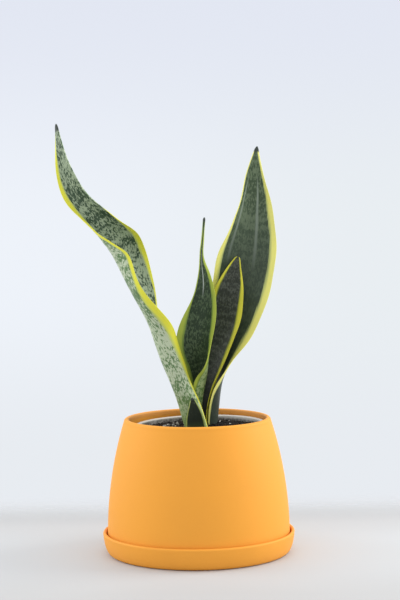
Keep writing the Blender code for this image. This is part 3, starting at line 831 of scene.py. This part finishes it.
def ceramic_group():
    """Matte coloured clay: slow colour drift, a fine grain of light and dark specks, soft dimples, and
    painted shade: a darker colour within a given radius, for the shaded inside of the mouth.
    """
    tree, given, made = group(
        "matte_ceramic",
        [
            ("Colour", "Color", (0.5, 0.16, 0.01)),
            ("Speck", "Color", (0.4, 0.12, 0.01)),
            ("Drift", "Float", 0.06),
            ("Speck Amount", "Float", 0.15),
            ("Inside", "Color", (0.5, 0.2, 0.04)),
            ("Painted Shade Radius", "Float", 0.0),
            ("Roughness", "Float", 0.6),
        ],
        [("Colour", "Color"), ("Roughness", "Float"), ("Height", "Float")],
    )
    value = given.outputs
    place = node(tree, "TexCoord").outputs["Object"]
    drift = noise(tree, place, 26.0, 3.0)
    grain = noise(tree, place, 1400.0, 3.0, 0.7)
    dimple = noise(tree, place, 420.0, 2.0, 0.5)
    tone = maths(tree, "ADD", 1.0, swing(tree, drift, value["Drift"]))
    colour = blend_colours(tree, 1.0, value["Colour"], grey(tree, tone), "MULTIPLY")
    specks = maths(tree, "MULTIPLY", smooth_step(tree, grain, 0.5, 0.72), value["Speck Amount"])
    colour = blend_colours(tree, specks, colour, value["Speck"])
    # Painted shade: within the given radius of the axis, the colour turns to a darker one that stands in
    # for the shade inside the pot's mouth.
    level = scaled(tree, place, (1, 1, 0))
    radius = node(tree, "VectorMath", {0: level}, operation="LENGTH").outputs["Value"]
    painted_inside_shade = smooth_step(tree, maths(tree, "SUBTRACT", value["Painted Shade Radius"], radius), 0.0, 0.0012)
    colour = blend_colours(tree, painted_inside_shade, colour, value["Inside"])
    tree.links.new(colour, made.inputs["Colour"])
    rough = maths(tree, "ADD", value["Roughness"], swing(tree, drift, 0.15))
    tree.links.new(rough, made.inputs["Roughness"])
    height = maths(tree, "ADD", maths(tree, "MULTIPLY", grain, 0.25), maths(tree, "MULTIPLY", dimple, 0.75))
    tree.links.new(height, made.inputs["Height"])
    return tree


def grain_group():
    """Loose mineral and peat matter: clumped colours at two scales and a rough broken surface."""
    tree, given, made = group(
        "loose_grain",
        [
            ("Dark", "Color", (0.012, 0.009, 0.006)),
            ("Light", "Color", (0.05, 0.035, 0.022)),
            ("Coarse Scale", "Float", 300.0),
            ("Fine Scale", "Float", 2500.0),
            ("Balance", "Float", 0.5),
        ],
        [("Colour", "Color"), ("Roughness", "Float"), ("Height", "Float")],
    )
    value = given.outputs
    place = node(tree, "TexCoord").outputs["Object"]
    coarse = noise(tree, place, value["Coarse Scale"], 3.0, 0.6)
    fine = noise(tree, place, value["Fine Scale"], 3.0, 0.7)
    tone = node(tree, "Attribute", attribute_name="tone").outputs["Fac"]
    both = maths(tree, "ADD", maths(tree, "MULTIPLY", coarse, 0.6), maths(tree, "MULTIPLY", fine, 0.4))
    both = maths(tree, "ADD", both, swing(tree, tone, 0.25))
    shifted = maths(tree, "ADD", both, maths(tree, "SUBTRACT", value["Balance"], 0.5))
    share = smooth_step(tree, shifted, 0.35, 0.70)
    tree.links.new(blend_colours(tree, share, value["Dark"], value["Light"]), made.inputs["Colour"])
    tree.links.new(maths(tree, "MULTIPLY_ADD", fine, 0.2, 0.78), made.inputs["Roughness"])
    tree.links.new(both, made.inputs["Height"])
    return tree


def plastic_group():
    """Moulded plastic: faint flow marks round the axis, scuffs, and a dark colour below a given height that
    is partly soil dust and partly painted shade on the shaded inner wall.
    """
    tree, given, made = group(
        "moulded_plastic",
        [
            ("Colour", "Color", (0.6, 0.6, 0.58)),
            ("Dust And Shade Colour", "Color", (0.10, 0.08, 0.06)),
            ("Dust And Shade Level", "Float", 0.1),
        ],
        [("Colour", "Color"), ("Roughness", "Float"), ("Height", "Float")],
    )
    value = given.outputs
    place = node(tree, "TexCoord").outputs["Object"]
    flow = noise(tree, scaled(tree, place, (60, 60, 900)), 1.0, 2.0)
    scuff = noise(tree, place, 350.0, 4.0, 0.7)
    height = node(tree, "SeparateXYZ", {0: place}).outputs[2]
    # Below the given height, the plastic turns dark in patches. This is partly soil dust and partly painted
    # shade where the inner wall lies in the pot's shade.
    low = smooth_step(tree, maths(tree, "SUBTRACT", value["Dust And Shade Level"], height), -0.0012, 0.0016)
    patchy = maths(tree, "MULTIPLY_ADD", smooth_step(tree, scuff, 0.35, 0.60), 0.35, 0.60)
    dust_and_shade = maths(tree, "MULTIPLY", low, patchy)
    colour = blend_colours(tree, dust_and_shade, value["Colour"], value["Dust And Shade Colour"])
    tone = maths(tree, "MULTIPLY_ADD", flow, 0.16, 0.92)
    colour = blend_colours(tree, 1.0, colour, grey(tree, tone), "MULTIPLY")
    tree.links.new(colour, made.inputs["Colour"])
    tree.links.new(maths(tree, "MULTIPLY_ADD", scuff, 0.25, 0.30), made.inputs["Roughness"])
    relief = maths(tree, "ADD", maths(tree, "MULTIPLY", flow, 0.5), maths(tree, "MULTIPLY", scuff, 0.5))
    tree.links.new(relief, made.inputs["Height"])
    return tree


def material(name, pattern, values, depth, specular=0.5):
    """A Principled material fed by a pattern group; depth is the bump's height in metres."""
    made = bpy.data.materials.new(name)
    made.use_nodes = True
    tree = made.node_tree
    shader = tree.nodes["Principled BSDF"]
    shader.inputs["Specular IOR Level"].default_value = specular
    look = tree.nodes.new("ShaderNodeGroup")
    look.node_tree = pattern
    for key, value in values.items():
        look.inputs[key].default_value = (*value, 1.0) if isinstance(value, tuple) else value
    tree.links.new(look.outputs["Colour"], shader.inputs["Base Color"])
    tree.links.new(look.outputs["Roughness"], shader.inputs["Roughness"])
    bump = node(tree, "Bump", {"Strength": 1.0, "Distance": depth, "Height": look.outputs["Height"]})
    tree.links.new(bump.outputs[0], shader.inputs["Normal"])
    return made


LEAF_PATTERN = leaf_pattern_group()
MATTE_CERAMIC = ceramic_group()
LOOSE_GRAIN = grain_group()
MOULDED_PLASTIC = plastic_group()

# Colours of each leaf: dark and light of its inner face and of its outer face, the yellow at the margin's
# edge, the greener yellow inside it, and the foot, which is partly the leaf's own base tint and partly
# painted shade.
LEAF_COLOUR_NAMES = (
    "Inner Dark", "Inner Light", "Outer Dark", "Outer Light",
    "Margin", "Margin Green", "Foot Tint And Shade",
)
LEAF_COLOURS = {
    "leaf_left_tall": (
        (0.042, 0.074, 0.042), (0.295, 0.365, 0.245),
        (0.115, 0.200, 0.085), (0.460, 0.530, 0.370),
        (0.720, 0.700, 0.060), (0.480, 0.550, 0.150), (0.170, 0.270, 0.040),
    ),
    "leaf_right_broad": (
        (0.050, 0.080, 0.042), (0.130, 0.176, 0.104),
        (0.016, 0.026, 0.022), (0.050, 0.070, 0.055),
        (0.780, 0.750, 0.200), (0.400, 0.450, 0.160), (0.034, 0.048, 0.034),
    ),
    "leaf_centre": (
        (0.022, 0.040, 0.020), (0.070, 0.105, 0.055),
        (0.100, 0.190, 0.055), (0.330, 0.420, 0.200),
        (0.380, 0.460, 0.070), (0.150, 0.230, 0.050), (0.160, 0.220, 0.060),
    ),
    "leaf_centre_right": (
        (0.036, 0.041, 0.033), (0.088, 0.096, 0.080),
        (0.016, 0.022, 0.015), (0.045, 0.058, 0.036),
        (0.560, 0.530, 0.055), (0.140, 0.170, 0.036), (0.028, 0.032, 0.027),
    ),
    "leaf_front_sprout": (
        (0.022, 0.030, 0.021), (0.056, 0.066, 0.048),
        (0.027, 0.035, 0.025), (0.060, 0.072, 0.052),
        (0.320, 0.380, 0.110), (0.120, 0.170, 0.050), (0.050, 0.080, 0.030),
    ),
}

# Scale, strength and place of each leaf's pattern, with its pale lines of painted sheen; what isn't given
# is as the group has it.
LEAF_PATTERNS = {
    "leaf_left_tall": {
        "Foot Height": 0.06, "Band Amount": 0.85, "Bands per Metre": 140.0, "Speckle Amount": 1.5,
        "Inner Cover": 0.48, "Outer Cover": 0.48, "Streak Amount": 0.6, "Seed": 1.7,
    },
    "leaf_right_broad": {
        "Foot Height": 0.232, "Band Amount": 0.55, "Bands per Metre": 260.0, "Speckle Amount": 0.9,
        "Inner Cover": 0.5, "Outer Cover": 0.55, "Streak Amount": 1.1,
        "Sheen Line Colour": (0.24, 0.29, 0.23), "Sheen Line Amount": 1.0, "Sheen Line Start": 0.15,
        "Sheen Line End": 0.232, "Horn Length": 0.005, "Foot Full": 0.15, "Seed": 9.3,
    },
    "leaf_centre": {
        "Foot Height": 0.03, "Band Amount": 0.6, "Bands per Metre": 240.0, "Speckle Amount": 1.0,
        "Inner Cover": 0.54, "Outer Cover": 0.48, "Sheen Line Colour": (0.55, 0.6, 0.56),
        "Sheen Line Amount": 0.9, "Left Sheen Line": -0.22, "Right Sheen Line": -0.22, "Sheen Line Start": 0.106,
        "Sheen Line End": 0.17, "Streak Amount": 0.7, "Horn Length": 0.005, "Seed": 17.1,
    },
    "leaf_centre_right": {
        "Foot Height": 0.085, "Band Amount": 0.4, "Bands per Metre": 260.0, "Speckle Amount": 0.5,
        "Inner Cover": 0.52, "Outer Cover": 0.55, "Streak Amount": 0.9, "Horn Length": 0.001,
        "Seed": 26.9,
    },
    "leaf_front_sprout": {
        "Foot Height": 0.02, "Band Amount": 0.9, "Bands per Metre": 200.0, "Speckle Amount": 0.6,
        "Inner Cover": 0.6, "Outer Cover": 0.6, "Horn Length": 0.003, "Seed": 33.3,
    },
}

# Specular level of each leaf's skin.
LEAF_GLOSS = {
    "leaf_left_tall": 0.2,
    "leaf_right_broad": 0.2,
    "leaf_centre": 0.2,
    "leaf_centre_right": 0.05,
    "leaf_front_sprout": 0.1,
}

# The pot's darker colour within its mouth radius is painted shade.
pot_material = material(
    "pot_matte_ceramic",
    MATTE_CERAMIC,
    {"Colour": (0.82, 0.345, 0.040), "Speck": (0.74, 0.29, 0.030), "Roughness": 0.62,
     "Inside": (0.64, 0.275, 0.060), "Painted Shade Radius": POT_MOUTH_RADIUS - 0.0022},
    0.00006,
    specular=0.25,
)
saucer_material = material(
    "saucer_matte_ceramic",
    MATTE_CERAMIC,
    {"Colour": (0.82, 0.345, 0.042), "Speck": (0.74, 0.29, 0.032), "Roughness": 0.60},
    0.00006,
    specular=0.25,
)
# The grow pot's dark colour below the rim is partly dust and partly painted shade.
plastic_material = material(
    "grow_pot_plastic",
    MOULDED_PLASTIC,
    {"Colour": (0.62, 0.60, 0.56), "Dust And Shade Colour": (0.030, 0.026, 0.022), "Dust And Shade Level": 0.1040},
    0.00004,
)
soil_material = material(
    "potting_soil_peat",
    LOOSE_GRAIN,
    {"Dark": (0.006, 0.005, 0.004), "Light": (0.032, 0.023, 0.016)},
    0.0004,
    specular=0.2,
)
perlite_material = material(
    "perlite_mineral",
    LOOSE_GRAIN,
    {"Dark": (0.16, 0.15, 0.13), "Light": (0.62, 0.60, 0.55), "Coarse Scale": 500.0, "Balance": 0.62},
    0.0002,
    specular=0.3,
)
rhizome_material = material(
    "rhizome_cork",
    LOOSE_GRAIN,
    {"Dark": (0.12, 0.07, 0.03), "Light": (0.42, 0.27, 0.13), "Coarse Scale": 160.0, "Fine Scale": 900.0},
    0.0003,
    specular=0.3,
)

# ----------------------------------------
# Pieces
# ----------------------------------------


def finish_piece(piece, paint, slot, *nodes):
    """Gives a piece its material, hangs it on the root body and hides the CAD nodes that it stands in for.
    """
    piece.data.materials.append(paint)
    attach(piece, "root")
    if nodes:
        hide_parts(*nodes)


def repaint(node_name, paint):
    """A better material on a CAD node that keeps its own shape."""
    for place in bpy.data.objects[node_name].material_slots:
        place.material = paint


finish_piece(turned_skin("cover_pot", pot_profile(), 288), pot_material, "pot_ceramic", "ceramic_pot")
finish_piece(turned_skin("drip_saucer", saucer_profile(), 288), saucer_material, "saucer_ceramic", "saucer")
finish_piece(soil_skin(), soil_material, "soil", "potting_soil")
finish_piece(crumb_skin(), soil_material, "soil")
finish_piece(perlite_fleck_skin(), perlite_material, "perlite")
for number in range(1, 9):
    grain = f"perlite_grain_{number}"
    finish_piece(grain_skin(grain), perlite_material, "perlite", grain)
for leaf, colours in LEAF_COLOURS.items():
    look = {**dict(zip(LEAF_COLOUR_NAMES, colours)), **LEAF_PATTERNS[leaf]}
    paint = material(leaf + "_skin", LEAF_PATTERN, look, 0.00010, specular=LEAF_GLOSS[leaf])
    finish_piece(leaf_skin(leaf), paint, leaf, leaf)
repaint("grow_pot", plastic_material)
repaint("rhizome", rhizome_material)

# ----------------------------------------
# Stage, lights and camera
# ----------------------------------------


# The camera looks along +Y, down by so many degrees, rolled a little, through a long lens.
CAMERA_PLACE = (0.00352, -1.30684, 0.28679)
CAMERA_DOWN = 3.4964
CAMERA_ROLL = -0.788
SENSOR_WIDTH = 36.0
LENS = 96.0

LAMP_AIM = (0.0, 0.0, 0.12)
LAMP_SIZE = 1.1


def floor_disc():
    """A wide thin disc whose surface fades out to the backdrop behind and far from the object; its colour
    is darker at the front and in a band just behind the object, as painted shade.
    """
    floor = turned_skin(
        "studio_floor",
        [(0.0, -0.0004)] + [(r, -0.0004) for r in (0.5, 1.0, 2.0, 4.0)] + [(4.0, -0.004), (0.0, -0.004)],
        96,
    )
    made = bpy.data.materials.new("pale_floor")
    made.use_nodes = True
    tree = made.node_tree
    shader = tree.nodes["Principled BSDF"]
    place = node(tree, "TexCoord").outputs["Object"]
    mottle = noise(tree, place, 9.0, 3.0)
    tone = maths(tree, "MULTIPLY_ADD", mottle, 0.02, 0.99)
    behind = node(tree, "SeparateXYZ", {0: place}).outputs[1]
    # Painted shade: the floor's colour is darker towards the front and in a band just behind the object
    # than in the middle.
    painted_front_shade = smooth_step(tree, behind, -0.17, -0.04)
    floor_with_painted_shade = blend_colours(tree, painted_front_shade, (0.475, 0.48, 0.485), (0.54, 0.56, 0.58))
    floor_with_painted_shade = blend_colours(tree, smooth_step(tree, behind, 0.02, 0.12), floor_with_painted_shade, (0.475, 0.48, 0.49))
    colour = blend_colours(tree, 1.0, floor_with_painted_shade, grey(tree, tone), "MULTIPLY")
    tree.links.new(colour, shader.inputs["Base Color"])
    shader.inputs["Roughness"].default_value = 0.7
    shader.inputs["Specular IOR Level"].default_value = 0.2
    away = node(tree, "VectorMath", {0: place}, operation="LENGTH").outputs["Value"]
    fade = maths(tree, "MAXIMUM", smooth_step(tree, away, 0.5, 1.1), smooth_step(tree, behind, 0.10, 0.26))
    tree.links.new(maths(tree, "SUBTRACT", 1.0, fade), shader.inputs["Alpha"])
    floor.data.materials.append(made)


def studio_world():
    """Pale cool surroundings, a little darker above and below than at eye level."""
    world = bpy.data.worlds.new("studio")
    bpy.context.scene.world = world
    world.use_nodes = True
    tree = world.node_tree
    tree.nodes.clear()
    toward = node(tree, "SeparateXYZ", {0: node(tree, "TexCoord").outputs["Generated"]})
    across, up = toward.outputs[0], toward.outputs[2]
    high = smooth_step(tree, up, -0.02, 0.13)
    low = smooth_step(tree, up, -0.05, -0.16)
    right = smooth_step(tree, across, -0.12, 0.12)
    middle = blend_colours(tree, right, (0.855, 0.893, 0.953), (0.813, 0.855, 0.888))
    shown = blend_colours(tree, high, middle, (0.765, 0.800, 0.893))
    shown = blend_colours(tree, low, shown, (0.805, 0.838, 0.880))
    backdrop = node(tree, "Background", {"Color": shown, "Strength": 1.0})
    light = node(tree, "Background", {"Color": (0.98, 0.99, 1.0), "Strength": 1.12})
    seen = node(tree, "LightPath").outputs["Is Camera Ray"]
    mix = node(tree, "MixShader", {0: seen, 1: light.outputs[0], 2: backdrop.outputs[0]})
    out = tree.nodes.new("ShaderNodeOutputWorld")
    tree.links.new(mix.outputs[0], out.inputs["Surface"])


def soft_light(name, place, aim, size, watts, colour):
    """A large square area light at place, turned to face aim."""
    data = bpy.data.lights.new(name, "AREA")
    data.shape = "SQUARE"
    data.size = size
    data.energy = watts
    data.color = colour
    lamp = bpy.data.objects.new(name, data)
    toward = np.array(aim) - np.array(place)
    turn = Vector(toward).to_track_quat("-Z", "Y").to_matrix().to_4x4()
    lamp.matrix_world = Matrix.Translation(place) @ turn
    bpy.context.scene.collection.objects.link(lamp)


def studio_camera():
    """Eye a little above the leaves' foot, looking slightly down, with a long lens."""
    data = bpy.data.cameras.new("camera")
    data.sensor_width = SENSOR_WIDTH
    data.lens = LENS
    camera = bpy.data.objects.new("camera", data)
    tilt = Matrix.Rotation(math.radians(90.0 - CAMERA_DOWN), 4, "X")
    turn = Matrix.Rotation(math.radians(CAMERA_ROLL), 4, "Z")
    camera.matrix_world = Matrix.Translation(CAMERA_PLACE) @ tilt @ turn
    bpy.context.scene.collection.objects.link(camera)
    bpy.context.scene.camera = camera


bpy.context.scene.view_settings.view_transform = "Standard"
floor_disc()
studio_world()
soft_light("right_softbox", (1.65, 0.25, 0.9), LAMP_AIM, LAMP_SIZE, 24.0, (1.0, 0.99, 0.97))
soft_light("left_softbox", (-1.65, 0.25, 0.8), LAMP_AIM, LAMP_SIZE, 12.0, (0.99, 0.99, 1.0))
studio_camera()
